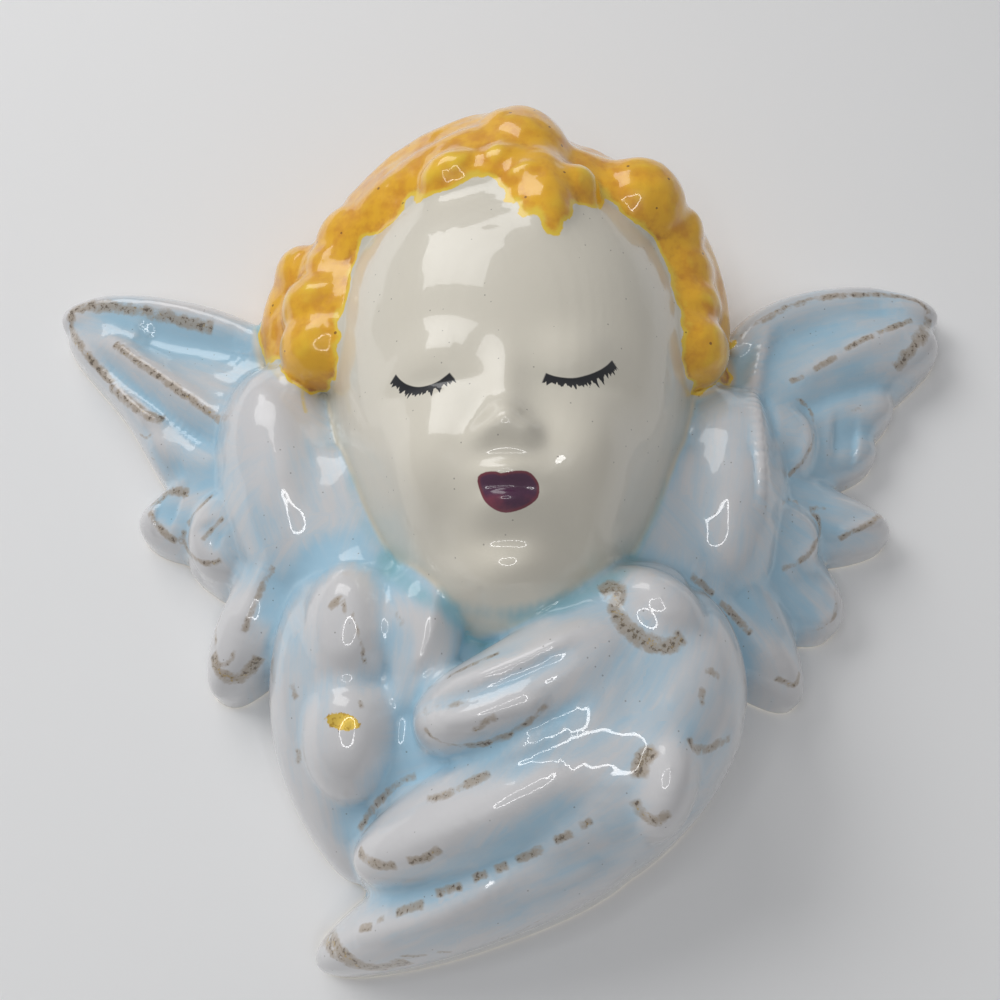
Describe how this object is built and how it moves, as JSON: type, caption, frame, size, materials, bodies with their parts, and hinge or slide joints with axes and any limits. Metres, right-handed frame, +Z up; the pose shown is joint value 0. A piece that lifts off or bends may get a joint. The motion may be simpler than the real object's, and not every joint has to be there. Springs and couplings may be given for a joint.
{
  "type": "cherub wall plaque",
  "caption": "Glazed earthenware wall plaque of a sleeping cherub's head with raised wings and smaller wings folded under the chin, flat behind, to hang on a wall.",
  "frame": {"origin": "on the flat back, in the wall's plane, level with the bridge of the nose and on the plaque's middle line", "axes": "+Z up, +X to the viewer's right, -Y the way the face looks, +Y into the wall"},
  "size_m": [0.18, 0.0531, 0.1525],
  "materials": {
    "glazed_earthenware": "clear gloss glaze over painted underglaze colours"
  },
  "bodies": {
    "root": {"cherub_plaque": "glazed_earthenware"}
  },
  "joints": []
}
